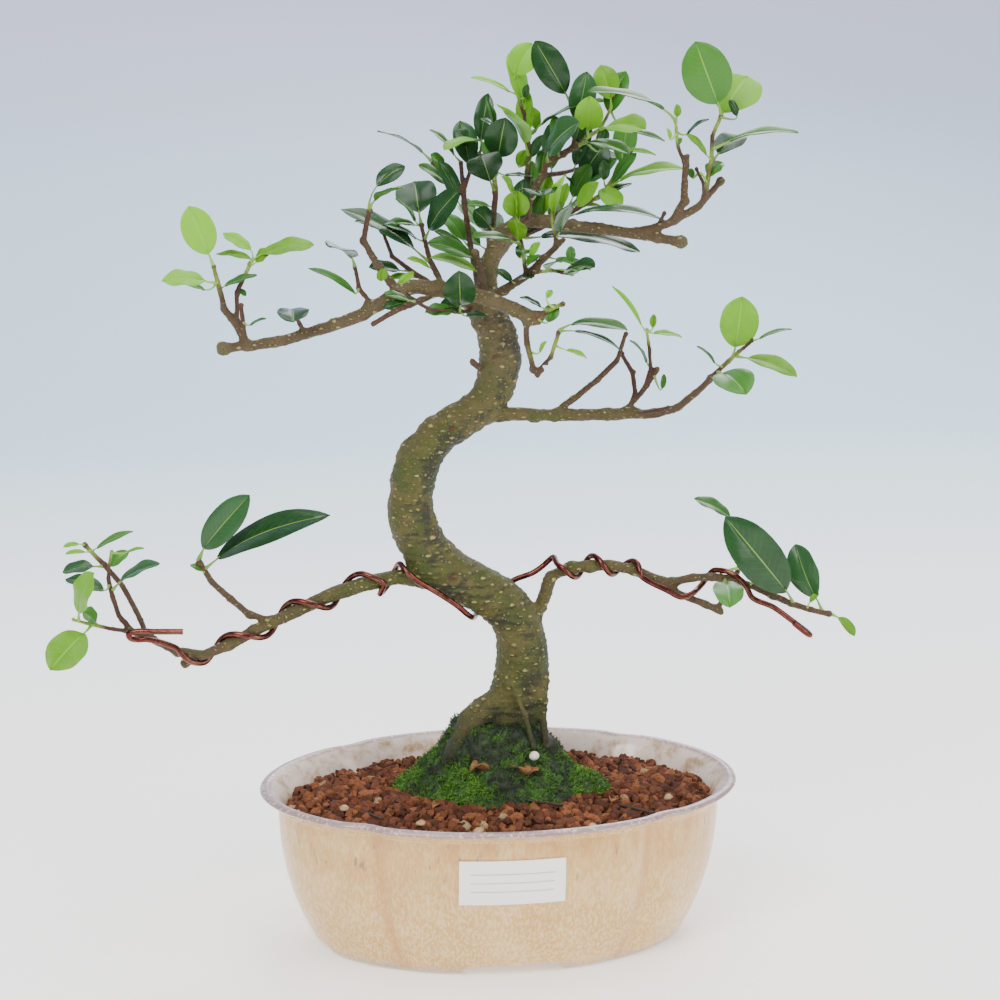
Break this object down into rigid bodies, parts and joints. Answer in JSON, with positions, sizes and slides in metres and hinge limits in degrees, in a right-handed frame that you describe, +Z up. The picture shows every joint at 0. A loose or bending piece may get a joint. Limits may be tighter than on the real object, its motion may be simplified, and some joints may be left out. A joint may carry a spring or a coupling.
{
  "type": "bonsai tree in a pot",
  "caption": "Small fig bonsai with an S-shaped trunk, wired lower branches and single leaves, in a glazed oval pot with four lobes, soil and a moss mound.",
  "frame": {"origin": "middle of the whole outline seen from above, on the surface the pot's feet stand on", "axes": "+Z up, +X along the pot's long side to the viewer's right, +Y from the labelled front to the back"},
  "size_m": [0.3112, 0.127, 0.3491],
  "materials": {
    "glazed_ceramic": "cream glaze with golden runs, gloss",
    "plastic_mesh": "moulded mesh",
    "paper_sticker": "smooth white paper",
    "clay_granules": "loose fired clay granules and fine bark",
    "living_bark": "smooth green-grey bark with pale lenticels",
    "moss": "soft cushion moss",
    "pebble": "rough",
    "anodised_wire": "brown anodised, satin",
    "leaf_bright": "young leaf, waxy",
    "leaf_mid": "grown leaf, waxy",
    "leaf_dark": "old leaf, waxy gloss"
  },
  "bodies": {
    "root": {"pot": "glazed_ceramic", "drain_screen_left": "plastic_mesh", "drain_screen_right": "plastic_mesh", "label": "paper_sticker", "soil": "clay_granules", "trunk_and_branches": "living_bark", "moss": "moss", "white_pebble": "pebble", "training_wire": "anodised_wire", "leaf_left_1": "leaf_bright", "leaf_left_2": "leaf_bright", "leaf_left_3": "leaf_bright", "leaf_left_4": "leaf_dark", "leaf_left_5": "leaf_dark", "leaf_left_6": "leaf_dark", "leaf_left_7": "leaf_dark", "leaf_left_8": "leaf_mid", "leaf_left_9": "leaf_dark", "leaf_centre_1": "leaf_mid", "leaf_centre_2": "leaf_bright", "leaf_centre_3": "leaf_dark", "leaf_centre_4": "leaf_dark", "leaf_crown_1": "leaf_bright", "leaf_crown_2": "leaf_dark", "leaf_crown_3": "leaf_bright", "leaf_crown_4": "leaf_dark", "leaf_crown_5": "leaf_dark", "leaf_crown_6": "leaf_bright", "leaf_crown_7": "leaf_dark", "leaf_crown_8": "leaf_dark", "leaf_crown_9": "leaf_dark", "leaf_crown_10": "leaf_mid", "leaf_crown_11": "leaf_bright", "leaf_crown_12": "leaf_bright", "leaf_crown_13": "leaf_mid", "leaf_crown_14": "leaf_bright", "leaf_crown_15": "leaf_mid", "leaf_crown_16": "leaf_dark", "leaf_crown_17": "leaf_bright", "leaf_crown_18": "leaf_dark", "leaf_crown_19": "leaf_dark", "leaf_right_1": "leaf_mid", "leaf_right_2": "leaf_bright", "leaf_right_3": "leaf_dark", "leaf_right_4": "leaf_mid", "leaf_right_5": "leaf_bright", "leaf_right_6": "leaf_bright", "leaf_right_7": "leaf_mid", "leaf_right_8": "leaf_mid", "leaf_low_1": "leaf_dark", "leaf_low_2": "leaf_bright", "leaf_low_3": "leaf_dark", "leaf_low_4": "leaf_bright", "leaf_low_5": "leaf_dark", "leaf_low_6": "leaf_dark", "leaf_low_7": "leaf_dark", "leaf_low_8": "leaf_mid", "leaf_low_9": "leaf_dark", "leaf_low_10": "leaf_mid", "leaf_low_11": "leaf_bright"}
  },
  "joints": []
}
